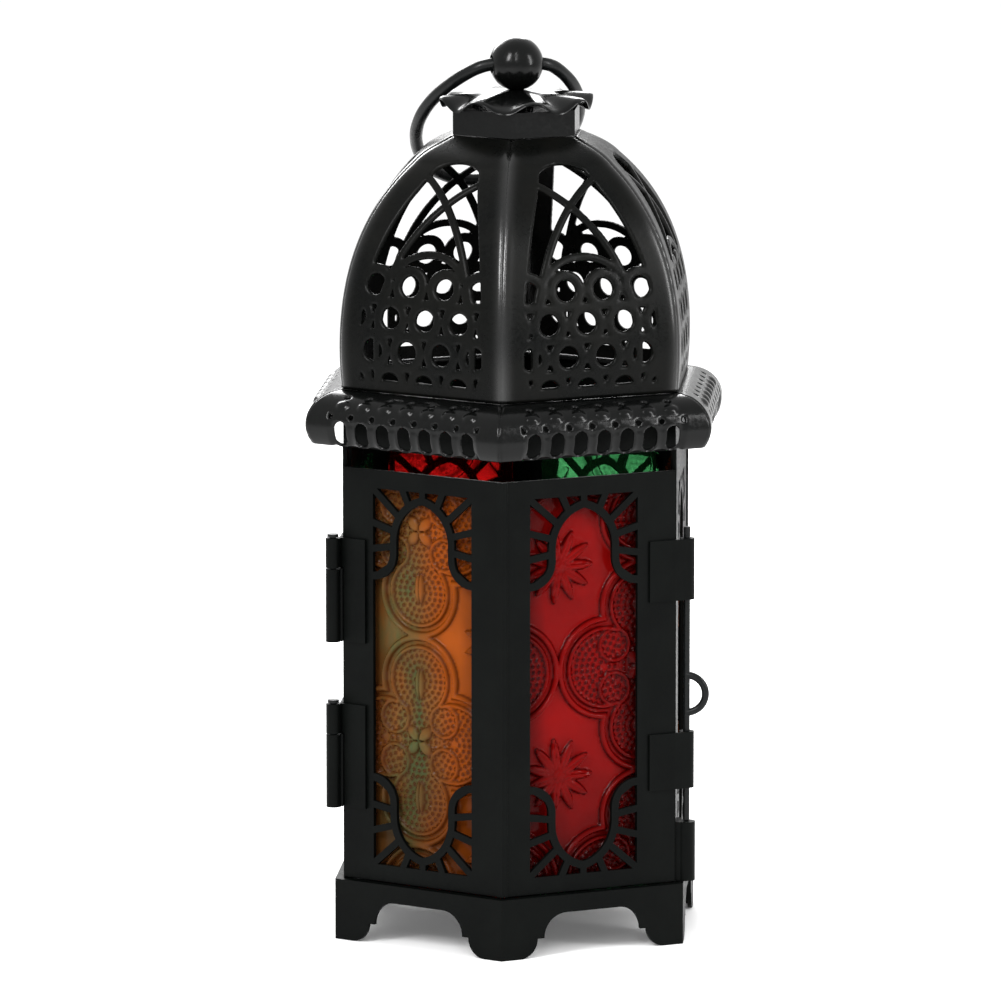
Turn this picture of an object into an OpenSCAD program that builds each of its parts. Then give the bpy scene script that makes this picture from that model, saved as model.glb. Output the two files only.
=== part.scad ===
// Hexagonal candle lantern in black pierced sheet iron with coloured pressed-glass panes.
// Origin: on the centre line, at the level of the surface that the feet stand on. +Z up, front corner at -Y.

/* [Body] */
// Distance from the centre line to a corner of the glazed body
body_r = 47; // [46:0.5:48]
// Thickness of the panel sheet
panel_t = 1.0; // [0.8:0.1:1.2]
// Height of the fixed panels' lower edge
panel_z0 = 15; // [15:0.5:16]
// Height of the fixed panels' upper edge
panel_z1 = 122; // [121:0.5:123]
// Half the width of a window
window_w = 14.5; // [13.5:0.5:15]
// Height of a window's middle
window_mid = 66; // [64:0.5:67]
// Half the height of the pierced field around a window
field_h = 46.5; // [45:0.5:47]
// Width of the plain band round a window's lobes
band_w = 1.9; // [1.6:0.1:2.1]
// Half the width of a window's end lobe
lobe_w = 7.6; // [7:0.1:8]
// Shift of the right door window towards the front corner
door_window_shift = 1.5; // [0:0.5:2]

/* [Base] */
// Distance from the centre line to a corner of the base skirt
skirt_r = 49.3; // [48.5:0.1:50]
// Height of the skirt's straight lower edge
skirt_edge_z = 10.7; // [10:0.1:11]
// Length of a foot along the face, from the corner
foot_reach = 17.5; // [16:0.5:19]
// Height of the step in a foot's outline
foot_step_z = 4.8; // [4.5:0.1:5]

/* [Candle cup] */
// Inner radius of the candle cup, for a tea light of 38 to 39 mm
cup_r = 19.9; // [19.5:0.1:20.5]
// Height of the cup's wall
cup_h = 12; // [10:1:15]

/* [Glass] */
// Half the width of a pane
pane_w = 17; // [16.5:0.1:17.5]
// Thickness of a pane
pane_t = 2.8; // [2:0.1:3]
// Height of a pane's lower edge
pane_z0 = 17.4; // [17.2:0.1:17.8]
// Height of a pane's upper edge
pane_z1 = 114.2; // [113.5:0.1:114.5]

/* [Door] */
// Clearance between the door and the fixed parts
door_gap = 0.4; // [0.35:0.05:0.6]
// Height of the door's upper edge
door_z1 = 117; // [116:0.5:117.5]
// Outer radius of a hinge barrel
barrel_r = 1.8; // [1.7:0.05:1.9]
// Radius of a hinge pin
pin_r = 0.8; // [0.7:0.05:0.85]
// Running clearance of a pin, at the radius
pin_play = 0.07; // [0.03:0.01:0.1]

/* [Slide bolt] */
// Distance of the bolt's axis to the right of the centre line
bolt_x = 43.2; // [43:0.1:43.4]
// Distance of the bolt's axis in front of the centre line
bolt_y = -21; // [-21.2:0.1:-20.8]
// Radius of the bolt's rod
bolt_r = 0.8; // [0.7:0.05:0.85]
// Height of the keeper tube's mouth
keeper_z1 = 29.9; // [29:0.1:30.5]

/* [Roof] */
// Distance from the centre line to the widest corner of the eave
eave_r = 57; // [56:0.5:58]
// Height of the eave's widest line
eave_mid = 128; // [127.5:0.1:128.5]
// Height of the dome's foot
dome_z0 = 136; // [135.5:0.5:136.5]
// Distance from the centre line to a corner of the dome's foot
dome_r = 47.4; // [47:0.1:48]
// Height of the dome's top, where the neck stands
neck_z0 = 196.8; // [196:0.1:197.5]
// Distance from the centre line to a corner of the neck
neck_r = 17.2; // [16.8:0.1:17.6]
// Thickness of the roof sheet
roof_t = 0.9; // [0.8:0.1:1]

/* [Finial and ring] */
// Height of the ball's centre, through which the ring passes
ball_z = 213.4; // [213.4:0.1:213.6]
// Radius of the ball
ball_r = 6.6; // [6.4:0.1:6.6]
// Mean radius of the scalloped cap
cap_r = 18.6; // [18:0.1:19]
// Radius of the ring's wire
ring_wire = 1.6; // [1.4:0.1:1.7]
// Heading of the ring's hole, turned from +X about +Z
ring_heading = 17.5; // [15:0.5:20]
// Angle between the resting ring and straight down
ring_lean = 50.5; // [50:0.5:52]

/* [Hidden] */
$fn = 48;

iron = [0.09, 0.09, 0.1];
red_glass = [0.72, 0.07, 0.05, 0.6];
amber_glass = [0.85, 0.4, 0.08, 0.6];
green_glass = [0.12, 0.5, 0.3, 0.6];

// Faces by number, counted anticlockwise from above: 0 front right, 1 right, 2 back right,
// 3 back left, 4 left, 5 front left. Corner n lies between faces n - 1 and n.
FRONT_RIGHT = 0;
RIGHT = 1;
BACK_RIGHT = 2;
BACK_LEFT = 3;
LEFT = 4;
FRONT_LEFT = 5;

flat = cos(30);                  // a hexagon's inradius over its corner radius
body_u = body_r * flat;          // the body's outer flats
panel_u = body_u - panel_t;      // the panels' inner flats
half_side = body_r / 2;
joint_gap = 0.06;                // gap between the mitred edges of two fixed sheets
pane_u = panel_u - 0.1 - pane_t; // the panes' inner flats
shelf_t = 1;                     // thickness of the skirt's top shelf and of the floor
leaf_t = 0.8;                    // thickness of a hinge leaf
barrel_u = body_u + leaf_t - 0.3 + barrel_r;
barrel_corner_r = barrel_u / flat;
barrel_v = barrel_corner_r / 2;
strap_t = 0.6;                   // thickness of a bolt strap
eave_out = eave_r - 47.2;        // how far the eave stands out
eave_rise = dome_z0 - eave_mid;
stud_r = 1.5;
cap_z = 207;                     // top of the cap at its centre
HINGES = [[74, 92, 99.6], [33, 51, 58.6]];  // foot, split and top of each barrel
STRAPS = [[85, 100], [38.4, 52.3]];         // foot and top of each bolt strap

function bezier(p, t) = pow(1 - t, 3) * p[0] + 3 * pow(1 - t, 2) * t * p[1]
                      + 3 * (1 - t) * t * t * p[2] + pow(t, 3) * p[3];
function unit(a) = a / norm(a);

// --- frames and sections -------------------------------------------------------------------------

// Turns +X to the outward normal of a face: children lie at u outward, v to the right, z up.
module on_face(n) { rotate([0, 0, -60 + 60 * n]) children(); }

// Turns +X to a corner of the hexagon.
module on_corner(n) { rotate([0, 0, -90 + 60 * n]) children(); }

// Stands a plate of thickness t, drawn in (v, z), with its inner side at u.
module upright(u, t) { translate([u, 0, 0]) rotate([90, 0, 90]) linear_extrude(t) children(); }

// The sixth of the plan that belongs to face 0 in its own frame, less half a gap at each mitre.
module sixth(gap) {
  reach = 80;
  translate([gap, 0, -1])
    linear_extrude(230) polygon([[0, 0], [reach, -reach * tan(30)], [reach, reach * tan(30)]]);
}

module hex_plate(r, z0, z1) { translate([0, 0, z0]) rotate([0, 0, 30]) cylinder(r = r, h = z1 - z0, $fn = 6); }

// --- panels --------------------------------------------------------------------------------------

// Upper half of a window above its middle, grown outward by g: waist, two shoulders and a pointed lobe.
module half_window(g) {
  lobe_z = 34;          // spring line of the lobe
  lobe_h = 9.5;         // height of the lobe above it
  shoulder_z = 24;      // where the waist ends
  lobe_sum = lobe_h * lobe_h / lobe_w;
  arc_r = (lobe_sum + lobe_w) / 2;
  arc_c = (lobe_sum - lobe_w) / 2;
  corner = window_w - lobe_w;
  translate([-window_w, -0.01]) square([2 * window_w, shoulder_z + g + 0.01]);
  translate([-lobe_w - g, 0]) square([2 * (lobe_w + g), lobe_z]);
  intersection() {
    translate([-arc_c, lobe_z]) circle(arc_r + g);
    translate([arc_c, lobe_z]) circle(arc_r + g);
    translate([-window_w, lobe_z - 0.01]) square([2 * window_w, 2 * lobe_h]);
  }
  difference() {
    translate([-window_w, shoulder_z]) square([2 * window_w, corner]);
    for (s = [-1, 1]) translate([s * window_w, shoulder_z + corner]) circle(corner - g);
  }
}

// The pierced corners beyond a window's lobe, divided by spokes.
module half_spandrels() {
  spoke_w = 1.7;
  difference() {
    translate([-window_w, 25]) square([2 * window_w, field_h - 25]);
    half_window(band_w);
    for (a = [-34 : 24.8 : 214]) translate([0, 34]) rotate(a) translate([0, -spoke_w / 2]) square([24, spoke_w]);
  }
}

module pierced_window() {
  translate([0, window_mid]) for (s = [0, 1]) mirror([0, s]) {
    half_window(0);
    half_spandrels();
  }
}

// A panel on face n from z0 to z1; left and right are the gaps at its two mitres.
module panel(n, z0, z1, left, right, shift = 0) {
  color(iron) on_face(n) intersection() {
    sixth(0);
    upright(panel_u, panel_t) difference() {
      translate([-half_side + left, z0]) square([2 * half_side - left - right, z1 - z0]);
      translate([-shift, 0]) pierced_window();
    }
  }
}

module fixed_panel(n) {
  panel(n, panel_z0, panel_z1, n == RIGHT ? door_gap / 2 : joint_gap, n == LEFT ? door_gap / 2 : joint_gap);
}

module pane(n, tint, shift = 0) {
  color(tint) on_face(n)
    translate([pane_u, -pane_w - shift, pane_z0]) cube([pane_t, 2 * pane_w, pane_z1 - pane_z0]);
}

// Four bent tabs that hold the pane of face n against its panel.
module clips(n, shift = 0) {
  tab_t = 0.5;
  tab_h = 4;
  tab_in = 2.4;
  color(iron) on_face(n) for (s = [-1, 1], z = [34, 96]) translate([0, -shift, z]) {
    translate([pane_u - tab_t, s * (pane_w + tab_t / 2) - tab_t / 2, 0])
      cube([panel_u - pane_u + tab_t, tab_t, tab_h]);
    translate([pane_u - tab_t, s > 0 ? pane_w - tab_in : -pane_w, 0]) cube([tab_t, tab_in, tab_h]);
  }
}

// A narrow angle strip over corner n.
module corner_strip(n, z0, z1) {
  strip_w = 2.6;
  strip_r = body_r + 0.5;
  color(iron) on_corner(n) intersection() {
    difference() {
      translate([0, 0, z0]) cylinder(r = strip_r, h = z1 - z0, $fn = 6);
      translate([0, 0, z0 - 1]) cylinder(r = body_r, h = z1 - z0 + 2, $fn = 6);
    }
    translate([body_r - 4, -strip_w / 2, z0]) cube([8, strip_w, z1 - z0]);
  }
}

// --- base ----------------------------------------------------------------------------------------

// One end of a skirt side, from the corner at s = 0: a stepped foot, round below the step and hollow above.
module foot_outline() {
  toe = 5;
  step = toe + foot_step_z;
  hollow = skirt_edge_z - foot_step_z;
  square([toe, skirt_edge_z + 1]);
  translate([toe, foot_step_z]) circle(foot_step_z);
  translate([toe - 0.01, foot_step_z]) square([step - toe + 0.01, skirt_edge_z - foot_step_z + 1]);
  difference() {
    translate([step - 0.01, foot_step_z]) square([foot_reach - step, skirt_edge_z - foot_step_z + 1]);
    translate([foot_reach, foot_step_z]) circle(hollow);
  }
}

module base_skirt() {
  half = skirt_r / 2;
  wall = 1.1;
  color(iron) {
    for (n = [0 : 5]) on_face(n) intersection() {
      sixth(0);
      upright(skirt_r * flat - wall, wall) {
        translate([-half - 1, skirt_edge_z]) square([2 * half + 2, panel_z0 - skirt_edge_z]);
        for (s = [0, 1]) mirror([s, 0]) translate([-half, 0]) foot_outline();
      }
    }
    difference() {
      hex_plate(skirt_r - 1, panel_z0 - shelf_t, panel_z0);
      hex_plate(42.5, panel_z0 - 2, panel_z0 + 1);
    }
  }
}

module floor_tray() {
  color(iron) difference() {
    hex_plate(44, panel_z0, panel_z0 + shelf_t);
    translate([0, 0, panel_z0 - 1]) cylinder(r = stud_r, h = 3);
  }
}

module candle_cup() {
  wall = 0.7;
  z0 = panel_z0 + shelf_t;
  color(iron) difference() {
    translate([0, 0, z0]) cylinder(r = cup_r + wall, h = cup_h, $fn = 96);
    translate([0, 0, z0 + wall]) cylinder(r = cup_r, h = cup_h, $fn = 96);
    translate([0, 0, z0 - 1]) cylinder(r = stud_r, h = 3);
  }
}

module cup_rivet() {
  color(iron) {
    translate([0, 0, panel_z0 - 0.8]) cylinder(r = 2.8, h = 0.8);
    translate([0, 0, panel_z0]) cylinder(r = stud_r, h = shelf_t + 0.7);
  }
}

// --- hinges --------------------------------------------------------------------------------------

// A leaf on face n whose side s meets the hinge corner; its barrel spans k0 to k1.
module hinge_leaf(n, s, z0, z1, k0, k1, bore) {
  leaf_from = 16.4;
  leaf_to = 22.6;
  color(iron) on_face(n) mirror([0, s > 0 ? 0 : 1, 0]) difference() {
    union() {
      translate([body_u, leaf_from, z0]) cube([leaf_t, leaf_to - leaf_from, z1 - z0]);
      translate([body_u, leaf_to - 0.01, k0]) cube([leaf_t, barrel_v - leaf_to, k1 - k0]);
      translate([barrel_u, barrel_v, k0]) cylinder(r = barrel_r, h = k1 - k0);
    }
    translate([barrel_u, barrel_v, k0 - 1]) cylinder(r = bore, h = k1 - k0 + 2);
  }
}

module fixed_leaf(h) { hinge_leaf(LEFT, 1, h[0], h[2], h[0], h[1], pin_r); }

module door_leaf(h) { hinge_leaf(FRONT_LEFT, -1, h[0], h[2], h[1] + 0.3, h[2], pin_r + pin_play); }

module hinge_pin(h) {
  head_z = h[2] + 0.3;
  color(iron) on_corner(5) translate([barrel_corner_r, 0, 0]) {
    translate([0, 0, h[0]]) cylinder(r = pin_r, h = head_z - h[0] + 0.01);
    translate([0, 0, head_z]) cylinder(r = 1.4, h = 0.7);
  }
}

// --- slide bolt ----------------------------------------------------------------------------------

module bolt_axis() { translate([bolt_x, bolt_y, 0]) children(); }

// A strap on the right door panel, rolled into an eye round the bolt.
module bolt_strap(z) {
  eye_r = 1.85;
  eye_u = bolt_x * sin(30) - bolt_y * cos(30);
  eye_v = bolt_x * cos(30) + bolt_y * sin(30);
  eye_top = eye_u + eye_r;
  color(iron) on_face(FRONT_RIGHT) translate([0, 0, z[0]]) difference() {
    linear_extrude(z[1] - z[0]) union() {
      polygon([
        [body_u, 16.1], [body_u + strap_t, 16.1], [eye_top, 22.8], [eye_top, eye_v],
        [eye_top - strap_t, eye_v], [eye_top - strap_t, 23.1], [body_u, 22.7]
      ]);
      translate([eye_u, eye_v]) circle(eye_r);
    }
    translate([eye_u, eye_v, -1]) cylinder(r = bolt_r + 0.08, h = z[1] - z[0] + 2);
  }
}

module bolt_keeper() {
  foot_z = panel_z0 + 0.3;
  keeper_h = keeper_z1 - foot_z;
  color(iron) difference() {
    union() {
      bolt_axis() translate([0, 0, foot_z]) cylinder(r = 2.2, h = keeper_h);
      translate([body_u, bolt_y - 1.8, foot_z]) cube([1.3, 6, keeper_h]);
    }
    bolt_axis() translate([0, 0, foot_z + 8]) cylinder(r = bolt_r + 0.1, h = keeper_h);
  }
}

module slide_bolt() {
  pull_z = 61.5;
  pull_r = 4.6;
  color(iron) bolt_axis() {
    translate([0, 0, keeper_z1 + 0.3]) cylinder(r = bolt_r, h = 102.5 - keeper_z1);
    translate([0, 0, pull_z]) rotate([0, 90, 0]) rotate([90, 0, 0])
      rotate_extrude(angle = 180) translate([pull_r, 0]) circle(0.9);
  }
}

// --- roof ----------------------------------------------------------------------------------------

// A curved sheet on face n: its section is given as outer points (corner radius, height), in order.
module roof_sheet(n, section) {
  last = len(section) - 1;
  outer = [for (p = section) [p[0] * flat, p[1]]];
  along = [for (i = [0 : last]) unit(outer[min(i + 1, last)] - outer[max(i - 1, 0)])];
  inner = [for (i = [0 : last]) outer[i] + roof_t * [-along[i][1], along[i][0]]];
  color(iron) on_face(n) intersection() {
    sixth(joint_gap);
    difference() {
      translate([0, 40, 0]) rotate([90, 0, 0])
        linear_extrude(80) polygon([each outer, for (i = [last : -1 : 0]) inner[i]]);
      children();
    }
  }
}

function eave_section() = [
  for (a = [-40 : 18.57 : 90.1]) [47.2 + eave_out * cos(a), eave_mid + eave_rise * sin(a)],
  [43.6, dome_z0]
];

module eave(n) {
  loops = 5;
  loop_pitch = 8.2;
  roof_sheet(n, eave_section()) translate([30, 0, 0]) upright(0, 40) for (i = [0 : loops - 1]) {
    v = (i - (loops - 1) / 2) * loop_pitch;
    translate([v, eave_mid - 1.5]) circle(2.3);
    translate([v - 2.3, eave_mid - 3.6]) square([4.6, 2.1]);
  }
}

DOME = [[dome_r, dome_z0], [49.8, 160], [44, 178], [28.4, 190.6]];
SHOULDER = [[28.4, 190.6], [25, 194], [20, 195.4], [neck_r, neck_z0]];

function dome_section() = [
  for (t = [0 : 0.1 : 0.95]) bezier(DOME, t),
  for (t = [0 : 0.25 : 1.01]) bezier(SHOULDER, t)
];

module dome(n) {
  rib = 1.7;
  roof_sheet(n, dome_section()) translate([5, 0, 0]) upright(0, 50) {
    difference() {
      intersection() {
        polygon([[-17, 160], [17, 160], [15.5, 170], [11.5, 182], [-11.5, 182], [-15.5, 170]]);
        translate([0, 167]) circle(17.5);
      }
      for (s = [-1, 1]) translate([s * 22, 158]) difference() {
        circle(28);
        circle(28 - rib);
      }
    }
    for (row = [[157, 4, 7.6], [149.5, 5, 7.2], [142.3, 4, 7.6]], i = [0 : row[1] - 1])
      translate([(i - (row[1] - 1) / 2) * row[2], row[0]]) circle(2.7);
  }
}

module roof_band() {
  color(iron) difference() {
    hex_plate(46.8, panel_z1, dome_z0 - roof_t);
    hex_plate(46, panel_z1 - 1, dome_z0);
  }
}

// Two tabs inside each fixed panel that hold the roof band down.
module roof_tabs() {
  tab_t = 0.7;
  color(iron) for (n = [RIGHT : LEFT], s = [-1, 1]) on_face(n)
    translate([panel_u - tab_t, s * 15 - 3, 115.5]) cube([tab_t, 6, 12]);
}

module neck_collar() {
  wall = 1;
  top = 203;
  color(iron) difference() {
    hex_plate(neck_r, neck_z0, top);
    hex_plate(neck_r - wall / flat, neck_z0 - 1, top - wall);
    translate([0, 0, top - 3]) cylinder(r = stud_r, h = 5);
  }
}

module cap_spacer() {
  color(iron) difference() {
    translate([0, 0, 203]) cylinder(r = 2.6, h = 3);
    translate([0, 0, 202]) cylinder(r = stud_r, h = 6);
  }
}

// Height of the cap's upper side at radius r and bearing a: a shallow dish turned down, with eight waves.
function cap_height(r, a) =
  let (q = (r - stud_r) / (cap_r - stud_r))
  cap_z - 2.6 * q * q - 1.45 * pow(q, 2.2) * cos(8 * (a - ring_heading - 22.5));

module scalloped_cap() {
  sheet = 0.9;
  turns = 96;
  radii = [stud_r + 0.05, 7, 11, 14.5, 17, cap_r];
  rings = len(radii);
  spots = [for (side = [0, 1], r = radii, i = [0 : turns - 1])
    let (a = i * 360 / turns, out = r + (r == cap_r ? 0.5 * cos(8 * (a - ring_heading - 22.5) + 180) : 0))
    [out * cos(a), out * sin(a), cap_height(r, a) - side * sheet]];
  function at(side, ring, i) = (side * rings + ring) * turns + i % turns;
  top = [for (k = [0 : rings - 2], i = [0 : turns - 1])
    each [[at(0, k, i), at(0, k + 1, i + 1), at(0, k + 1, i)], [at(0, k, i), at(0, k, i + 1), at(0, k + 1, i + 1)]]];
  under = [for (k = [0 : rings - 2], i = [0 : turns - 1])
    each [[at(1, k, i), at(1, k + 1, i), at(1, k + 1, i + 1)], [at(1, k, i), at(1, k + 1, i + 1), at(1, k, i + 1)]]];
  edge = rings - 1;
  rim = [for (i = [0 : turns - 1])
    each [[at(0, edge, i), at(0, edge, i + 1), at(1, edge, i + 1)], [at(0, edge, i), at(1, edge, i + 1), at(1, edge, i)]]];
  hole = [for (i = [0 : turns - 1])
    each [[at(0, 0, i), at(1, 0, i + 1), at(0, 0, i + 1)], [at(0, 0, i), at(1, 0, i), at(1, 0, i + 1)]]];
  color(iron) polyhedron(spots, [each top, each under, each rim, each hole]);
}

module finial_stud() {
  color(iron) translate([0, 0, 198.4]) cylinder(r = stud_r, h = 211 - 198.4);
}

module finial_nut() {
  color(iron) difference() {
    translate([0, 0, 199.4]) cylinder(r = 3.2, h = 2.6, $fn = 6);
    translate([0, 0, 199]) cylinder(r = stud_r, h = 4);
  }
}

module along_ring_hole() { translate([0, 0, ball_z]) rotate([0, 0, ring_heading]) rotate([0, 90, 0]) children(); }

module finial_ball() {
  color(iron) difference() {
    translate([0, 0, ball_z]) sphere(ball_r, $fn = 64);
    along_ring_hole() {
      translate([0, 0, -8]) cylinder(r = ring_wire + 0.06, h = 16);
      for (s = [0, 1]) mirror([0, 0, s]) translate([0, 0, 4.3]) cylinder(r1 = ring_wire + 0.06, r2 = 2.4, h = 2.5);
    }
    translate([0, 0, 200]) cylinder(r = stud_r, h = 11);
  }
}

// --- ring ----------------------------------------------------------------------------------------

// One bend of the wire's route: points [x, y, bearing of the bend's outer side], without its last point.
function bend(centre, r, a0, a1, steps) = [
  for (i = [0 : steps - 1])
    let (a = a0 + (a1 - a0) * i / steps)
      [centre.x + r * cos(a), centre.y + r * sin(a), a]
];

module hanging_ring() {
  chord = 4.5;   // half the straight length inside the ball
  crown_r = 8.24;
  side_r = 33.36;
  turn = 45;
  close = 35;
  widest = 26;
  around = 20;   // sides of the wire
  side_c = chord + (crown_r - side_r) * sin(turn);
  end_r = (side_c + side_r * cos(close)) / cos(close);
  end_y = widest + side_r * sin(close) - end_r * sin(close);
  route = concat(
    bend([chord, crown_r], crown_r, -90, -90 + turn, 5),
    bend([side_c, widest], side_r, -90 + turn, close, 14),
    bend([0, end_y], end_r, close, 180 - close, 22),
    bend([-side_c, widest], side_r, 180 - close, 270 - turn, 14),
    bend([-chord, crown_r], crown_r, 270 - turn, 270, 5),
    [[-chord, 0, 270]]
  );
  spots = [
    for (p = route, j = [0 : around - 1])
      let (t = 360 * j / around, out = ring_wire * cos(t))
        [p.x + out * cos(p.z), p.y + out * sin(p.z), ring_wire * sin(t)]
  ];
  function at(k, j) = (k % len(route)) * around + j % around;
  sides = [
    for (k = [0 : len(route) - 1], j = [0 : around - 1])
      each [[at(k, j), at(k, j + 1), at(k + 1, j + 1)], [at(k, j), at(k + 1, j + 1), at(k + 1, j)]]
  ];
  color(iron) translate([0, 0, ball_z]) rotate([0, 0, ring_heading]) rotate([ring_lean - 90, 0, 0])
    polyhedron(spots, sides);
}

// --- the parts -----------------------------------------------------------------------------------

base_skirt();
floor_tray();
candle_cup();
cup_rivet();
fixed_panel(RIGHT);  // panel_right
fixed_panel(BACK_RIGHT);  // panel_back_right
fixed_panel(BACK_LEFT);  // panel_back_left
fixed_panel(LEFT);  // panel_left
pane(RIGHT, amber_glass);  // glass_right
pane(BACK_RIGHT, green_glass);  // glass_back_right
pane(BACK_LEFT, red_glass);  // glass_back_left
pane(LEFT, green_glass);  // glass_left
for (n = [RIGHT : LEFT]) clips(n);  // glass_clips
corner_strip(2, panel_z0, panel_z1);  // corner_strip_right
corner_strip(3, panel_z0, panel_z1);  // corner_strip_back
corner_strip(4, panel_z0, panel_z1);  // corner_strip_left
fixed_leaf(HINGES[0]);  // hinge_upper_fixed_leaf
fixed_leaf(HINGES[1]);  // hinge_lower_fixed_leaf
hinge_pin(HINGES[0]);  // hinge_upper_pin
hinge_pin(HINGES[1]);  // hinge_lower_pin
bolt_keeper();
roof_tabs();
roof_band();
eave(FRONT_RIGHT);  // eave_front_right
eave(RIGHT);  // eave_right
eave(BACK_RIGHT);  // eave_back_right
eave(BACK_LEFT);  // eave_back_left
eave(LEFT);  // eave_left
eave(FRONT_LEFT);  // eave_front_left
dome(FRONT_RIGHT);  // dome_front_right
dome(RIGHT);  // dome_right
dome(BACK_RIGHT);  // dome_back_right
dome(BACK_LEFT);  // dome_back_left
dome(LEFT);  // dome_left
dome(FRONT_LEFT);  // dome_front_left
neck_collar();
cap_spacer();
scalloped_cap();
finial_stud();
finial_nut();
finial_ball();
panel(FRONT_LEFT, panel_z0 + door_gap, door_z1, door_gap / 2, joint_gap);  // door_panel_left
panel(FRONT_RIGHT, panel_z0 + door_gap, door_z1, joint_gap, door_gap / 2, door_window_shift);  // door_panel_right
pane(FRONT_LEFT, amber_glass);  // door_glass_left
pane(FRONT_RIGHT, red_glass, door_window_shift);  // door_glass_right
union() {  // door_glass_clips
  clips(FRONT_LEFT);
  clips(FRONT_RIGHT, door_window_shift);
}
corner_strip(0, panel_z0 + door_gap, door_z1);  // door_corner_strip
door_leaf(HINGES[0]);  // hinge_upper_door_leaf
door_leaf(HINGES[1]);  // hinge_lower_door_leaf
bolt_strap(STRAPS[0]);  // bolt_strap_upper
bolt_strap(STRAPS[1]);  // bolt_strap_lower
slide_bolt();
hanging_ring();
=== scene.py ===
import math

import bpy
import numpy as np
from mathutils import Matrix, Vector


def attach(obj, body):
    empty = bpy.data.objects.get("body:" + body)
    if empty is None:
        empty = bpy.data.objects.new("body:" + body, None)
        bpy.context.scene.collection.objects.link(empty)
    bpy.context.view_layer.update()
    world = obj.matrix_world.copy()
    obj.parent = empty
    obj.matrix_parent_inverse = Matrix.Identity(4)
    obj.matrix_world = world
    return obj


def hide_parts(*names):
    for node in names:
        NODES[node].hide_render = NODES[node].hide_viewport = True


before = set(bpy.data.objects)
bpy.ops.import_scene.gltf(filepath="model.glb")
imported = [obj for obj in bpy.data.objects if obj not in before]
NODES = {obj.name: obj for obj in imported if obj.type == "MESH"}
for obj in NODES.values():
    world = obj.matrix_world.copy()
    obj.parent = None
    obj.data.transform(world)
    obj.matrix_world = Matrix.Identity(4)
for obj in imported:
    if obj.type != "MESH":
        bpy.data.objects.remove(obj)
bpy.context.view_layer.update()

MM = 0.001

# --- sizes, in millimetres, as in the CAD model ------------------------------------------------------

FLAT = math.cos(math.radians(30))        # a hexagon's inradius over its corner radius
FACES = ("front_right", "right", "back_right", "back_left", "left", "front_left")
BODY_R = 47.0
PANEL_T = 1.0
PANE_T = 2.8
PANE_U = BODY_R * FLAT - PANEL_T - 0.1 - PANE_T
PANE_Z = (17.4, 114.2)
PANE_W = 17.0
DOOR_SHIFT = 1.5
ROOF_T = 0.9
MITRE = 0.06
DOME_Z0, NECK_Z0 = 136.0, 196.8
DOME = ((47.4, 136.0), (49.8, 160.0), (44.0, 178.0), (28.4, 190.6))
SHOULDER = ((28.4, 190.6), (25.0, 194.0), (20.0, 195.4), (17.2, 196.8))
EAVE_IN, EAVE_OUT, EAVE_MID, EAVE_RISE = 47.2, 9.8, 128.0, 8.0
EAVE_FROM = -40.0
CAP_R, CAP_Z, CAP_T, STUD_R = 18.6, 207.0, 0.9, 1.5
RING_HEADING, RING_LEAN, BALL_Z = 17.5, 50.5, 213.4


# --- mesh helpers ------------------------------------------------------------------------------------

def face_turn(n):
    """Turns +X to the outward normal of face n, counted anticlockwise from the front right one."""
    return Matrix.Rotation(math.radians(-60 + 60 * n), 4, "Z")


def mesh_piece(name, verts, faces, turn=None, sharp=38):
    """A new object from points in millimetres; edges sharper than that angle stay crisp."""
    mesh = bpy.data.meshes.new(name)
    mesh.from_pydata([tuple(p) for p in np.asarray(verts, float) * MM], [], faces)
    mesh.validate()
    if turn is not None:
        mesh.transform(turn)
    mesh.shade_smooth()
    mesh.set_sharp_from_angle(angle=math.radians(sharp))
    piece = bpy.data.objects.new(name, mesh)
    bpy.context.scene.collection.objects.link(piece)
    return piece


def point_layer(piece, label, values):
    """One number for each point, for the materials to read."""
    layer = piece.data.attributes.new(label, "FLOAT", "POINT")
    layer.data.foreach_set("value", np.asarray(values, np.float32).ravel())


def dress(piece, material):
    """Gives the whole piece one material."""
    piece.data.materials.clear()
    piece.data.materials.append(material)


def stand_for(piece, body, material, slot, *nodes):
    """The piece rides on the body, takes the material and hides those CAD nodes; slot is not used."""
    dress(piece, material)
    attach(piece, body)
    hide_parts(*nodes)


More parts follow.
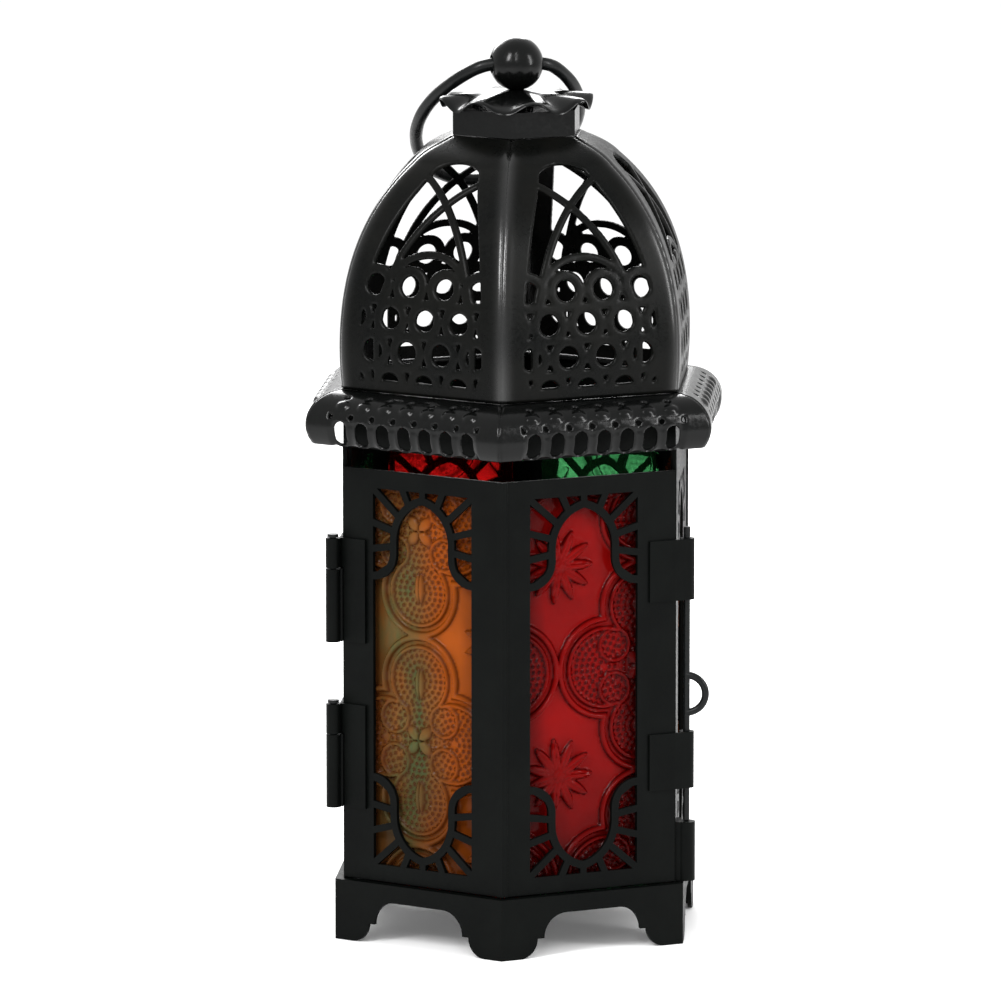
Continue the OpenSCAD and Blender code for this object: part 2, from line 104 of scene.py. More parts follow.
def pierced_sheet(v_range, t_range, step, metal, place, thickness, soft):
    """A closed sheet over (v, t) where metal(v, t), the distance to the nearest edge, is above 0.
    Cells that an edge crosses are cut along it, and the outer side is rounded over the width soft."""
    vs = np.arange(v_range[0], v_range[1] + step, step)
    ts = np.arange(t_range[0], t_range[1] + step, step)
    grid_v, grid_t = np.meshgrid(vs, ts, indexing="ij")
    depth = metal(grid_v, grid_t)
    inside = depth > 0
    spots, dist, index = [], [], {}

    def corner(i, j):
        key = (i, j)
        if key not in index:
            index[key] = len(spots)
            spots.append((vs[i], ts[j]))
            dist.append(depth[i, j])
        return index[key]

    def crossing(a, b):
        key = (a, b) if a < b else (b, a)
        if key not in index:
            (i, j), (k, m) = key
            d0, d1 = depth[i, j], depth[k, m]
            w = min(max(d0 / (d0 - d1), 0.06), 0.94)
            index[key] = len(spots)
            spots.append((vs[i] + w * (vs[k] - vs[i]), ts[j] + w * (ts[m] - ts[j])))
            dist.append(0.0)
        return index[key]

    tops, rims = [], []
    some = inside[:-1, :-1] | inside[1:, :-1] | inside[1:, 1:] | inside[:-1, 1:]
    for i, j in zip(*np.nonzero(some)):
        ring = ((i, j), (i + 1, j), (i + 1, j + 1), (i, j + 1))
        outline, leaves = [], []
        for a, b in zip(ring, ring[1:] + ring[:1]):
            if inside[a]:
                outline.append(corner(*a))
            if inside[a] != inside[b]:
                if inside[a]:
                    leaves.append(len(outline))
                outline.append(crossing(a, b))
        if len(outline) > 2:
            tops.append(outline)
            rims += [(outline[k], outline[(k + 1) % len(outline)]) for k in leaves]
    spots, dist = np.array(spots), np.array(dist)
    near = np.clip(dist, 0, soft)
    drop = soft - np.sqrt(np.maximum(soft ** 2 - (soft - near) ** 2, 0))
    outer = place(spots[:, 0], spots[:, 1], drop)
    inner = place(spots[:, 0], spots[:, 1], np.full(len(spots), thickness))
    count = len(spots)
    faces = tops + [[count + k for k in reversed(f)] for f in tops]
    faces += [[b, a, a + count, b + count] for a, b in rims]
    return np.concatenate([outer, inner]), faces, np.concatenate([spots, spots])


def fold(a, pitch):
    """Offset from the nearest point of a row."""
    return a - pitch * np.round(a / pitch)


def bezier(points, t):
    """Points of a cubic curve at each t."""
    p = [np.array(q) for q in points]
    t = np.asarray(t, float)[..., None]
    return (1 - t) ** 3 * p[0] + 3 * (1 - t) ** 2 * t * p[1] + 3 * (1 - t) * t * t * p[2] + t ** 3 * p[3]


# --- materials ---------------------------------------------------------------------------------------

class Shader:
    """Short names for building one material's nodes."""

    def __init__(self, name):
        self.material = bpy.data.materials.new(name)
        self.material.use_nodes = True
        self.tree = self.material.node_tree
        self.bsdf = self.tree.nodes["Principled BSDF"]
        self.place = self.add("ShaderNodeTexCoord").outputs["Object"]

    def add(self, kind, **settings):
        made = self.tree.nodes.new(kind)
        for key, value in settings.items():
            setattr(made, key, value)
        return made

    def link(self, output, socket):
        self.tree.links.new(output, socket)

    def noise(self, size_mm, detail=3.0, roughness=0.5, stretch=(1, 1, 1)):
        """Noise whose features are about that many millimetres across."""
        mapping = self.add("ShaderNodeMapping")
        mapping.inputs["Scale"].default_value = stretch
        self.link(self.place, mapping.inputs["Vector"])
        texture = self.add("ShaderNodeTexNoise")
        texture.inputs["Scale"].default_value = 1 / (size_mm * MM)
        texture.inputs["Detail"].default_value = detail
        texture.inputs["Roughness"].default_value = roughness
        self.link(mapping.outputs["Vector"], texture.inputs["Vector"])
        return texture.outputs["Fac"]

    def ramp(self, source, *stops):
        """Stops are (position, colour or grey)."""
        ramp = self.add("ShaderNodeValToRGB")
        elements = ramp.color_ramp.elements
        while len(elements) < len(stops):
            elements.new(0.5)
        for element, (position, value) in zip(elements, stops):
            element.position = position
            element.color = (*value, 1) if isinstance(value, tuple) else (value, value, value, 1)
        self.link(source, ramp.inputs["Fac"])
        return ramp.outputs["Color"]

    def bumps(self, *layers):
        """Layers of (height source, depth in millimetres), stacked."""
        normal = None
        for source, depth in layers:
            bump = self.add("ShaderNodeBump")
            bump.inputs["Distance"].default_value = depth * MM
            self.link(source, bump.inputs["Height"])
            if normal is not None:
                self.link(normal, bump.inputs["Normal"])
            normal = bump.outputs["Normal"]
        self.link(normal, self.bsdf.inputs["Normal"])

    def mix(self, factor, a, b):
        mixer = self.add("ShaderNodeMix", data_type="RGBA")
        for socket, value in ((mixer.inputs[0], factor), (mixer.inputs[6], a), (mixer.inputs[7], b)):
            if isinstance(value, bpy.types.NodeSocket):
                self.link(value, socket)
            else:
                socket.default_value = value
        return mixer.outputs[2]


def black_paint(name, colour, rough, specular, relief, polished_folds=False):
    """Black enamel on sheet iron: patchy sheen, orange peel and shallow dents. relief holds the peel's
    size and depth and the depth of the dents, in millimetres."""
    peel_mm, peel_depth, dent_depth = relief
    s = Shader(name)
    patches = s.noise(14, 4, 0.6)
    grain = s.noise(0.9, 3, 0.6)
    dark, light = colour
    colour = s.mix(s.ramp(patches, (0.3, 0.0), (0.75, 1.0)), (*dark, 1), (*light, 1))
    s.link(colour, s.bsdf.inputs["Base Color"])
    smooth, worn = rough
    matt = worn + 0.08
    sheen = s.mix(s.ramp(grain, (0.35, 0.0), (0.7, 1.0)),
                  s.ramp(patches, (0.3, smooth), (0.7, worn)), (matt, matt, matt, 1))
    s.link(sheen, s.bsdf.inputs["Roughness"])
    s.bsdf.inputs["IOR"].default_value = 1.5
    s.bsdf.inputs["Specular IOR Level"].default_value = specular
    if polished_folds:
        fold = s.add("ShaderNodeAttribute", attribute_name="fold").outputs["Fac"]
        s.link(fold, s.bsdf.inputs["Coat Weight"])
        s.bsdf.inputs["Coat Roughness"].default_value = 0.22
    s.bumps((s.noise(11, 2, 0.4), dent_depth), (s.noise(peel_mm, 3, 0.55), peel_depth))
    return s.material


def tinned_sheet():
    """Dull tinned sheet with drawn streaks round the cup."""
    s = Shader("tinned_sheet")
    streaks = s.noise(3, 4, 0.6, (1, 1, 0.15))
    tone = s.ramp(streaks, (0.3, (0.30, 0.30, 0.29)), (0.7, (0.55, 0.54, 0.52)))
    s.link(tone, s.bsdf.inputs["Base Color"])
    s.link(s.ramp(s.noise(6, 3), (0.3, 0.3), (0.7, 0.5)), s.bsdf.inputs["Roughness"])
    s.bsdf.inputs["Metallic"].default_value = 1
    s.bumps((streaks, 0.02))
    return s.material


def pressed_glass(name, clear, deep, through, painted_glow_behind=None):
    """Tinted pressed glass, clear in the hollows and deep on the slopes of the relief and in clouds, with
    painted shade deepening it at the rim and lower down; through is the share of light that passes on,
    and the last argument a tint in wisps that paints the green light seen through from the pane behind."""
    s = Shader(name)
    relief = s.add("ShaderNodeAttribute", attribute_name="relief").outputs["Fac"]
    rim = s.add("ShaderNodeAttribute", attribute_name="rim").outputs["Fac"]
    wisps = s.noise(9, 4, 0.6, (1, 1, 0.45))
    tint = (*clear, 1)
    # painted light: a green tint in wisps, for the green light seen through the glass from the pane
    # behind
    if painted_glow_behind:
        side = s.add("ShaderNodeAttribute", attribute_name="painted_glow_behind").outputs["Fac"]
        blend = s.add("ShaderNodeMath", operation="MULTIPLY")
        s.link(s.ramp(wisps, (0.30, 0.25), (0.62, 1.0)), blend.inputs[0])
        s.link(side, blend.inputs[1])
        tint = s.mix(blend.outputs[0], tint, (*painted_glow_behind, 1))
    cloud = s.ramp(s.noise(13, 3, 0.5), (0.3, 0.0), (0.75, 0.45))
    tint = s.mix(cloud, tint, (*deep, 1))
    tint = s.mix(s.ramp(relief, (0.0, 0.0), (0.3, 0.85), (0.8, 0.1)), tint, (*deep, 1))
    # painted shade: the rim attribute deepens the tint near the pane's edge and towards its bottom
    s.link(s.mix(s.ramp(rim, (0.0, 0.8), (1.0, 0.0)), tint, (*deep, 1)), s.bsdf.inputs["Base Color"])
    s.link(s.ramp(s.noise(4, 3), (0.3, 0.07), (0.7, 0.18)), s.bsdf.inputs["Roughness"])
    s.bsdf.inputs["IOR"].default_value = 1.2
    s.bsdf.inputs["Specular IOR Level"].default_value = 0.08
    s.bsdf.inputs["Transmission Weight"].default_value = through
    s.bumps((s.noise(5, 2, 0.4), 0.12), (s.noise(0.7, 2), 0.012))
    return s.material


SATIN = black_paint("satin_black_paint", ((0.0010, 0.0013, 0.0012), (0.0024, 0.0030, 0.0026)),
                    (0.30, 0.42), 0.05, (0.7, 0.012, 0.10))
DOME_PAINT = black_paint("dome_black_paint", ((0.0010, 0.0013, 0.0012), (0.0032, 0.0032, 0.0026)),
                         (0.20, 0.34), 0.08, (0.8, 0.014, 0.14), polished_folds=True)
GLOSS = black_paint("gloss_black_paint", ((0.0010, 0.0012, 0.0012), (0.0022, 0.0024, 0.0022)),
                    (0.09, 0.18), 0.17, (1.1, 0.02, 0.10))
WIRE = black_paint("wire_black_paint", ((0.0022, 0.0028, 0.0028), (0.0045, 0.0050, 0.0050)),
                   (0.20, 0.32), 0.16, (0.8, 0.015, 0.04))
TIN = tinned_sheet()
FRONT_CLEAR, BACK_CLEAR = 0.35, 0.85     # share of light let through by front and back panes
RED = pressed_glass("red_pressed_glass", (0.25, 0.0030, 0.0026), (0.014, 0.0002, 0.0002), FRONT_CLEAR)
# painted light: the amber glass carries a green tint, for the green light seen through it from the pane
# behind
AMBER = pressed_glass("amber_pressed_glass", (0.36, 0.075, 0.006), (0.06, 0.013, 0.002), FRONT_CLEAR,
                      painted_glow_behind=(0.060, 0.105, 0.038))
# painted light: the back panes take lighter copies of the red and green glass, with lighter tints and
# more light let through than the front panes of the same glass
BACK_RED_PAINTED_LIGHT = pressed_glass("back_red_glass", (0.42, 0.005, 0.005), (0.07, 0.001, 0.001), BACK_CLEAR)
BACK_GREEN_PAINTED_LIGHT = pressed_glass("back_green_glass", (0.07, 0.34, 0.12), (0.01, 0.07, 0.02), BACK_CLEAR)
GREEN = pressed_glass("green_pressed_glass", (0.03, 0.25, 0.08), (0.004, 0.05, 0.015), FRONT_CLEAR)


# --- sheet-iron parts that keep their CAD mesh -------------------------------------------------------

PANEL_EDGE, SHEET_EDGE = 0.3, 0.22      # widths of the rounded edges


def soften(piece, width_mm, segments=2):
    """Rounds the sheared edges of a part, as paint and tumbling do."""
    bevel = piece.modifiers.new("rounded_edges", "BEVEL")
    bevel.width = width_mm * MM
    bevel.segments = segments
    bevel.limit_method = "ANGLE"
    bevel.angle_limit = math.radians(40)
    bevel.harden_normals = False


def has_own_piece(name):
    """Whether a piece made further down stands for this CAD node."""
    is_pane = "glass_" in name and not name.endswith("clips")
    return is_pane or name.startswith(("eave_", "dome_")) or name in ("scalloped_cap", "hanging_ring")


def finish_cad_nodes():
    """Paints the CAD nodes that stay, and rounds the edges of those that aren't wire or the finial ball.
    """
    paints = {"neck_collar": GLOSS, "finial_ball": GLOSS, "candle_cup": TIN,
              "slide_bolt": WIRE, "hinge_upper_pin": WIRE, "hinge_lower_pin": WIRE}
    for name, node in NODES.items():
        if has_own_piece(name):
            continue
        paint = paints.get(name, SATIN)
        dress(node, paint)
        if paint is not WIRE and name != "finial_ball":
            soften(node, PANEL_EDGE if "panel" in name else SHEET_EDGE)


# --- glass -------------------------------------------------------------------------------------------

LATTICE = (44.8, 51.6)      # spacing of the cartouches across and up, in millimetres
DOT_PITCH = 1.5
# each lobe of a cartouche: its centre and radius
LOBES = ((9.9, 0, 12.5), (-9.9, 0, 12.5), (0, 15.0, 11.0), (0, -15.0, 11.0), (0, 0, 14.0))


def ridge(distance, width):
    """A rounded ridge, 1 high, along the line where distance is 0."""
    return np.clip(1 - (distance / (width / 2)) ** 2, 0, 1) ** 0.75


def cartouche(x, y):
    """Four round lobes framed by two ridges. Rows of dots run round each lobe's centre; the upper and
    lower lobes hold a leaf, the others a pair of rings, and a four-petalled flower is at the heart."""
    inside = np.full_like(x, -99.0)
    round_lobe = np.zeros_like(x)
    for cx, cy, size in LOBES:
        reach = np.hypot(x - cx, y - cy)
        nearer = size - reach > inside
        inside = np.where(nearer, size - reach, inside)
        angle = np.arctan2(y - cy, x - cx)
        row = np.maximum(np.round(reach / DOT_PITCH), 1)
        step = 2 * math.pi / np.round(2 * math.pi * row)
        off = (angle / step - np.round(angle / step)) * step * reach
        dot = np.clip(1 - (np.hypot(off, reach - row * DOT_PITCH) / 0.60) ** 2, 0, 1)
        round_lobe = np.where(nearer, 0.55 * dot, round_lobe)
    height = np.where(inside > 3.6, round_lobe, 0.0)
    height = np.maximum(height, 1.0 * ridge(inside - 0.5, 1.7))
    height = np.maximum(height, 0.8 * ridge(inside - 2.9, 1.3))
    ring = np.hypot(np.abs(x) - 7.2, np.abs(y) - 5.4)
    height = np.maximum(height, 0.75 * ridge(ring - 3.9, 1.2) * (inside > 3.4))
    leaf = np.hypot(x / 1.5, (np.abs(y) - 14.0) / 4.4)
    leaf_top = 0.95 * np.clip(1 - leaf ** 2, 0, 1) ** 0.5 - 0.35 * ridge(x, 0.8)
    height = np.where(leaf < 1, leaf_top, height)
    radius, angle = np.hypot(x, y), np.arctan2(y, x)
    petal = np.abs(np.sin(2 * angle)) ** 0.7 * 4.6
    flower = np.clip(1 - (radius / np.maximum(petal, 0.3)) ** 2, 0, 1)
    return np.where(radius < petal, 0.3 + 0.65 * flower ** 0.5, height)


def daisy(x, y, petals=11):
    """A daisy of long thin petals, each with a crease, round a button."""
    radius, angle = np.hypot(x, y), np.arctan2(y, x)
    step = 2 * math.pi / petals
    off = (angle / step - np.round(angle / step)) * step * radius
    reach = np.clip(1 - ((radius - 5.1) / 4.1) ** 2, 0, 1)
    petal = np.clip(1 - (off / (0.3 + 1.1 * reach)) ** 2, 0, 1) ** 0.6 * (reach > 0)
    petal = petal - 0.35 * ridge(off, 0.6) * (reach > 0.2)
    return np.maximum(petal, 0.95 * np.clip(1 - (radius / 1.5) ** 2, 0, 1) ** 0.5)


def relief(v, z, centre):
    """Height of the pressed pattern, 0 to 1: a lattice of cartouches with a daisy in each gap."""
    x, y = v - centre[0], z - centre[1]
    cx, cy = fold(x, LATTICE[0]), fold(y, LATTICE[1])
    dx, dy = fold(x + LATTICE[0] / 2, LATTICE[0]), fold(y + LATTICE[1] / 2, LATTICE[1])
    return np.maximum(cartouche(cx, cy), daisy(dx, dy))


def pane(name, n, body, material, slot, centre, shift=0.0, step=0.4, depth=1.5):
    """A slab whose outer side carries the relief, down to a plain rim."""
    vs = np.arange(-PANE_W, PANE_W + step / 2, step)
    zs = np.linspace(PANE_Z[0], PANE_Z[1], int((PANE_Z[1] - PANE_Z[0]) / step) + 1)
    grid_v, grid_z = np.meshgrid(vs, zs, indexing="ij")
    height = relief(grid_v - shift, grid_z, centre)
    rim = np.minimum(PANE_W - np.abs(grid_v), np.minimum(grid_z - PANE_Z[0], PANE_Z[1] - grid_z))
    height = height * np.clip(rim / 1.5, 0, 1)
    sink = 0.12 + depth * (1 - height)
    front = np.stack([PANE_U + PANE_T - sink, grid_v - shift, grid_z], -1).reshape(-1, 3)
    nv, nz = len(vs), len(zs)

    def at(i, j):
        return i * nz + j

    faces = [[at(i, j), at(i + 1, j), at(i + 1, j + 1), at(i, j + 1)]
             for i in range(nv - 1) for j in range(nz - 1)]
    border = [at(i, 0) for i in range(nv)] + [at(nv - 1, j) for j in range(1, nz)]
    border += [at(i, nz - 1) for i in range(nv - 2, -1, -1)] + [at(0, j) for j in range(nz - 2, 0, -1)]
    back = front[border].copy()
    back[:, 0] = PANE_U
    first = len(front)
    count = len(border)
    faces += [[border[(k + 1) % count], border[k], first + k, first + (k + 1) % count]
              for k in range(count)]
    faces.append([first + k for k in range(count - 1, -1, -1)])
    piece = mesh_piece(name + "_pressed", np.concatenate([front, back]), faces, face_turn(n), sharp=80)
    # painted light: where the green light from the pane behind shows through the amber glass, stronger to
    # the left and lower down
    green = np.clip((5.5 + 0.11 * (66 - grid_z) - grid_v + shift) / 9, 0, 1)
    # painted shade on the glass: 0 at the rim and lower down, where the tint is deepened, and 1 higher up
    # away from the rim, where it is left clear
    thin = np.clip((rim - 2.0) / 6, 0, 1) * (0.2 + 0.8 * np.clip((grid_z - 24) / 26, 0, 1))
    for label, field in (("relief", height), ("painted_glow_behind", green), ("rim", thin)):
        point_layer(piece, label, np.concatenate([field.ravel(), np.zeros(count)]))
    stand_for(piece, body, material, slot, name)


def make_glass():
    pane("door_glass_right", 0, "door", RED, "red_glass", (15.0, 69.5), DOOR_SHIFT)
    pane("door_glass_left", 5, "door", AMBER, "amber_glass", (-2.2, 51.0))
    pane("glass_right", 1, "lantern", AMBER, "amber_glass", (5.0, 60.0), step=0.6)
    # the back panes take the lighter copies of the red and green glass: painted light
    pane("glass_back_right", 2, "lantern", BACK_GREEN_PAINTED_LIGHT, "green_glass", (-6.0, 75.0), step=0.6)
    pane("glass_back_left", 3, "lantern", BACK_RED_PAINTED_LIGHT, "red_glass", (13.0, 64.0), step=0.6)
    pane("glass_left", 4, "lantern", GREEN, "green_glass", (-1.0, 56.0), step=0.6)


# --- dome --------------------------------------------------------------------------------------------

RING_PITCH, RING_RISE, RING_HOLE, RING_WIDTH = 10.0, 8.1, 2.6, 2.5
RING_ROW = 2.4                           # length at which the lowest row of rings is centred
LONG_RIB, ARCH_RIB, RIDGE_R = 1.9, 2.0, 3.2
DOME_LEANS = (-0.9, 0.5, -0.4, 0.8, -0.6, 0.9)   # how far each sheet's pattern sits off its middle


def profile_table():
    """Corner radius and height along the dome's outline, from its foot to the neck."""
    low = bezier(DOME, np.linspace(0, 1, 200))
    high = bezier(SHOULDER, np.linspace(0, 1, 60))[1:]
    return np.concatenate([low, high])


PROFILE = profile_table()
PROFILE_LENGTH = np.concatenate([[0], np.cumsum(np.hypot(*np.diff(PROFILE, axis=0).T))])


def dome_point(length):
    """Corner radius and height at a length along the outline."""
    radius = np.interp(length, PROFILE_LENGTH, PROFILE[:, 0])
    return radius, np.interp(length, PROFILE_LENGTH, PROFILE[:, 1])


def band(x, y, cx, cy, radius, width):
    """Distance inside a round rib about (cx, cy)."""
    return width / 2 - np.abs(np.hypot(x - cx, y - cy) - radius)


def dome_metal(v, length, lean):
    """Distance inside the metal of a dome sheet: in a plain border, two long arcs cross above an arch,
    and under it rows of touching rings leave round holes and small three-cornered ones."""
    radius, _ = dome_point(length)
    edge = (radius / 2 - MITRE / FLAT - np.abs(v)) * 0.93
    outline = np.minimum(edge, np.minimum(length - 0.02, PROFILE_LENGTH[-1] - 0.02 - length))
    border = 6.2 + 2.4 * np.clip((length - 22) / 30, 0, 1)
    opening = np.minimum(radius / 2 - border - np.abs(v), length - 3.3)
    opening = np.where(length > 53, np.minimum(opening, 8.7 - np.hypot(v, length - 53)), opening)
    w = v - lean
    ribs = np.full_like(v, -9.0)
    for s in (-1, 1):
        ribs = np.maximum(ribs, band(w, length, s * 44.2, 10.6, 58.2, LONG_RIB))
    ribs = np.maximum(ribs, np.minimum(band(w, length, 0, 22.2, 12.8, ARCH_RIB), length - 24))
    for row in range(4):
        x = fold(w - RING_PITCH / 2 * (row % 2), RING_PITCH)
        y = length - (RING_ROW + row * RING_RISE)
        ribs = np.maximum(ribs, band(x, y, 0, 0, RING_HOLE + RING_WIDTH / 2, RING_WIDTH))
    return np.minimum(outline, np.maximum(-opening, ribs))


def dome_place(v, length, drop):
    radius, z = dome_point(length)
    from_ridge = radius / 2 - np.abs(v)
    bend = np.clip(RIDGE_R * math.tan(math.radians(30)) - from_ridge, 0, None)
    drop = drop + RIDGE_R - np.sqrt(np.maximum(RIDGE_R ** 2 - bend ** 2, 0))
    ahead_r, ahead_z = dome_point(np.minimum(length + 0.4, PROFILE_LENGTH[-1]))
    back_r, back_z = dome_point(np.maximum(length - 0.4, 0))
    du, dz = (ahead_r - back_r) * FLAT, ahead_z - back_z
    size = np.hypot(du, dz)
    return np.stack([radius * FLAT - drop * dz / size, v, z + drop * du / size], -1)


def make_dome():
    for n, (side, lean) in enumerate(zip(FACES, DOME_LEANS)):
        verts, faces, spots = pierced_sheet((-24.6, 24.6), (0, PROFILE_LENGTH[-1]), 0.5,
                                            lambda v, t: dome_metal(v, t, lean), dome_place, ROOF_T, 0.42)
        piece = mesh_piece("dome_sheet_" + side, verts, faces, face_turn(n), sharp=50)
        from_ridge = dome_point(spots[:, 1])[0] / 2 - np.abs(spots[:, 0])
        point_layer(piece, "fold", np.exp(-(from_ridge / 1.8) ** 2))
        stand_for(piece, "lantern", DOME_PAINT, "satin_black_iron", "dome_" + side)


# --- eave --------------------------------------------------------------------------------------------

LOOP_PITCH, LOOPS = 6.2, 7


def eave_table():
    """Corner radius and height along the rolled eave, from its lower lip to the flat under the dome."""
    angles = np.radians(np.linspace(EAVE_FROM, 90, 120))
    roll = np.stack([EAVE_IN + EAVE_OUT * np.cos(angles), EAVE_MID + EAVE_RISE * np.sin(angles)], -1)
    return np.concatenate([roll, [[43.6, EAVE_MID + EAVE_RISE]]])


EAVE = eave_table()
EAVE_LENGTH = np.concatenate([[0], np.cumsum(np.hypot(*np.diff(EAVE, axis=0).T))])


def eave_point(length):
    return np.interp(length, EAVE_LENGTH, EAVE[:, 0]), np.interp(length, EAVE_LENGTH, EAVE[:, 1])


def loop_offset(v):
    """Offset of v from the middle of its loop."""
    k = np.clip(np.round(v / LOOP_PITCH), -(LOOPS // 2), LOOPS // 2)
    return v - k * LOOP_PITCH


def eave_metal(v, length):
    """Distance inside the metal of an eave piece: U-shaped loops under two rows of small holes."""
    radius, _ = eave_point(length)
    edge = (radius / 2 - MITRE / FLAT - np.abs(v)) * 0.9
    outline = np.minimum(edge, np.minimum(length - 0.02, EAVE_LENGTH[-1] - 0.02 - length))
    x = loop_offset(v)
    loop = 1.75 - np.hypot(x, np.maximum(length - 5.6, 0) + np.maximum(2.4 - length, 0))
    half_run = LOOP_PITCH * LOOPS / 2
    low = 0.72 - np.hypot(np.abs(x) - LOOP_PITCH / 2, length - 8.6)
    low = np.where(np.abs(v) < half_run + 0.5, low, -9)
    high = np.where(np.abs(v) < half_run - 2, 0.62 - np.hypot(x, length - 14.6), -9)
    return np.minimum(outline, -np.maximum(loop, np.maximum(low, high)))


def eave_place(v, length, drop):
    radius, z = eave_point(length)
    ahead_r, ahead_z = eave_point(np.minimum(length + 0.3, EAVE_LENGTH[-1]))
    back_r, back_z = eave_point(np.maximum(length - 0.3, 0))
    du, dz = (ahead_r - back_r) * FLAT, ahead_z - back_z
    size = np.hypot(du, dz)
    x = loop_offset(v)
    inner = drop > ROOF_T - 0.01
    run = np.clip((LOOP_PITCH * LOOPS / 2 - np.abs(v)) / 1.2, 0, 1)
    flute = 0.3 * (1 - np.cos(2 * math.pi * x / LOOP_PITCH)) * np.clip((8.6 - length) / 2, 0, 1) * run
    bead = 0.55 * np.sqrt(np.clip(1 - (x / 1.9) ** 2 - ((length - 11.6) / 1.5) ** 2, 0, 1)) * run
    depth = drop + 0.02 + np.where(inner, 0, flute - bead)
    return np.stack([radius * FLAT - depth * dz / size, v, z + depth * du / size], -1)


def make_eave():
    for n, side in enumerate(FACES):
        verts, faces, _ = pierced_sheet((-29, 29), (0, EAVE_LENGTH[-1]), 0.42,
                                        eave_metal, eave_place, ROOF_T, 0.35)
        piece = mesh_piece("eave_roll_" + side, verts, faces, face_turn(n), sharp=50)
        stand_for(piece, "lantern", GLOSS, "gloss_black_iron", "eave_" + side)


# --- cap ---------------------------------------------------------------------------------------------

def make_cap():
    """The scalloped cap: a shallow turned-down dish with eight waves and a rounded rim."""
    turns, rings = 240, 26
    angles = np.linspace(0, 2 * math.pi, turns, endpoint=False)
    wave = np.cos(8 * (angles - math.radians(RING_HEADING + 22.5)))
    rows = []
    for side in (0, 1):
        steps = np.linspace(0, 1, rings)
        for q in (steps if side == 0 else steps[::-1]):
            radius = STUD_R + 0.05 + q * (CAP_R - STUD_R - 0.05)
            out = radius - 0.5 * wave * q ** 6
            round_off = 0.28 * max(0.0, (q - 0.965) / 0.035)
            below = round_off if side == 0 else CAP_T - round_off
            z = CAP_Z - 2.6 * q * q - 1.45 * q ** 2.2 * wave - below
            rows.append(np.stack([out * np.cos(angles), out * np.sin(angles), z], -1))
    verts = np.concatenate(rows)
    total = len(rows)

    def at(r, k):
        return (r % total) * turns + k % turns

    faces = [[at(r, k), at(r + 1, k), at(r + 1, k + 1), at(r, k + 1)]
             for r in range(total) for k in range(turns)]
    piece = mesh_piece("scalloped_cap_sheet", verts, faces, sharp=60)
    stand_for(piece, "lantern", GLOSS, "gloss_black_iron", "scalloped_cap")


# --- ring --------------------------------------------------------------------------------------------

def bend(centre, radius, start, end, steps):
    """Points of the ring's route with the bearing of the outer side, without the last one."""
    turns = np.radians(start + (end - start) * np.arange(steps) / steps)
    return [(centre[0] + radius * math.cos(a), centre[1] + radius * math.sin(a), a) for a in turns]


def ring_route():
    """The closed route of the wire in the ring's own plane: a chord in the ball, two shoulders, two long
    sides and a far end."""
    chord, crown, side, turn, close, widest = 4.5, 8.24, 33.36, 45.0, 35.0, 26.0
    side_x = chord + (crown - side) * math.sin(math.radians(turn))
    end_r = (side_x + side * math.cos(math.radians(close))) / math.cos(math.radians(close))
    end_y = widest + (side - end_r) * math.sin(math.radians(close))
    route = bend((chord, crown), crown, -90, -90 + turn, 12)
    route += bend((side_x, widest), side, -90 + turn, close, 40)
    route += bend((0, end_y), end_r, close, 180 - close, 50)
    route += bend((-side_x, widest), side, 180 - close, 270 - turn, 40)
    route += bend((-chord, crown), crown, 270 - turn, 270, 12)
    return route + [(-chord, 0, math.radians(270))]


def make_ring():
    """The bent wire, with a slight unevenness along it where the paint has pooled."""
    wire, around = 1.6, 28
    route = ring_route()
    verts = []
    for k, (x, y, bearing) in enumerate(route):
        swell = wire * (1 - 0.012 * (1 + math.sin(k * 0.9)))
        for t in np.linspace(0, 2 * math.pi, around, endpoint=False):
            out = swell * math.cos(t)
            verts.append((x + out * math.cos(bearing), y + out * math.sin(bearing), swell * math.sin(t)))

    def at(k, j):
        return (k % len(route)) * around + j % around

    faces = [[at(k, j), at(k + 1, j), at(k + 1, j + 1), at(k, j + 1)]
             for k in range(len(route)) for j in range(around)]
    lift = Matrix.Translation((0, 0, BALL_Z * MM))
    heading = Matrix.Rotation(math.radians(RING_HEADING), 4, "Z")
    lean = Matrix.Rotation(math.radians(RING_LEAN - 90), 4, "X")
    piece = mesh_piece("ring_wire", verts, faces, lift @ heading @ lean)
    stand_for(piece, "ring", WIRE, "black_wire", "hanging_ring")


# --- setting -----------------------------------------------------------------------------------------

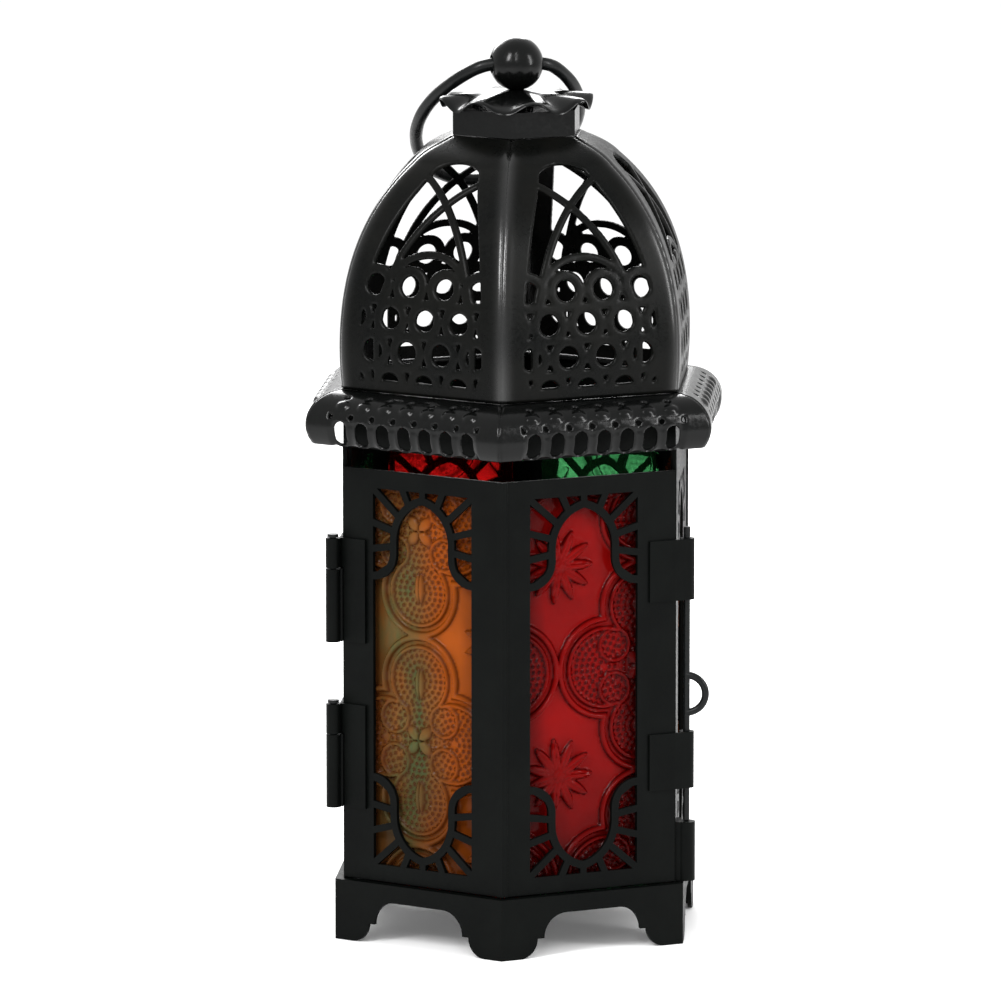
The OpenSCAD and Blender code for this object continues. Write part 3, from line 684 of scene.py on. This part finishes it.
def make_floor():
    """A pale floor that runs past the edge of the view."""
    s = Shader("pale_floor")
    s.link(s.ramp(s.noise(60, 3), (0.3, 0.93), (0.7, 0.95)), s.bsdf.inputs["Base Color"])
    s.bsdf.inputs["Roughness"].default_value = 0.8
    s.bsdf.inputs["Emission Color"].default_value = (1, 1, 1, 1)
    s.bsdf.inputs["Emission Strength"].default_value = 0.1
    half = 4000
    corners = [(-half, -half, 0), (half, -half, 0), (half, half, 0), (-half, half, 0)]
    floor = mesh_piece("floor", corners, [[0, 1, 2, 3]])
    dress(floor, s.material)


def soft_light(name, place_mm, size_mm, power, target=(0, 0, 110)):
    lamp = bpy.data.lights.new(name, "AREA")
    lamp.shape = "RECTANGLE"
    lamp.size, lamp.size_y = size_mm[0] * MM, size_mm[1] * MM
    lamp.energy = power
    spot = bpy.data.objects.new(name, lamp)
    spot.location = Vector(place_mm) * MM
    spot.rotation_euler = (Vector(place_mm) - Vector(target)).to_track_quat("Z", "Y").to_euler()
    bpy.context.scene.collection.objects.link(spot)


def make_light():
    """White surroundings with three soft lights in front, beside and behind, and a tall one facing the
    front corner that runs a highlight down the dome's fold."""
    world = bpy.data.worlds.new("studio")
    world.use_nodes = True
    world.node_tree.nodes["Background"].inputs["Color"].default_value = (1, 1, 1, 1)
    world.node_tree.nodes["Background"].inputs["Strength"].default_value = 0.95
    bpy.context.scene.world = world
    soft_light("key", (-380, -620, 640), (160, 420), 6)
    soft_light("side", (760, -300, 420), (120, 520), 4)
    soft_light("front", (70, -1100, 950), (90, 800), 5, (0, 0, 160))
    soft_light("back", (-200, 700, 520), (600, 400), 8)
    bpy.context.scene.view_settings.view_transform = "Standard"


def make_camera():
    """A long lens, slightly to the right of the front corner and a little above."""
    azimuth, pitch, distance = math.radians(4.22), math.radians(8.96), 2161.9
    lens_over_frame = 8.781
    level = Vector((math.sin(azimuth), -math.cos(azimuth), 0))
    back = level * math.cos(pitch) + Vector((0, 0, math.sin(pitch)))
    right = Vector((math.cos(azimuth), math.sin(azimuth), 0))
    target = right * -3.87 + Vector((0, 0, 105.4))
    data = bpy.data.cameras.new("camera")
    data.sensor_width = 36
    data.lens = 36 * lens_over_frame
    data.clip_end = 50
    camera = bpy.data.objects.new("camera", data)
    camera.location = (target + back * distance) * MM
    camera.rotation_euler = back.to_track_quat("Z", "Y").to_euler()
    bpy.context.scene.collection.objects.link(camera)
    bpy.context.scene.camera = camera


make_camera()
finish_cad_nodes()
make_glass()
make_dome()
make_eave()
make_cap()
make_ring()
make_floor()
make_light()
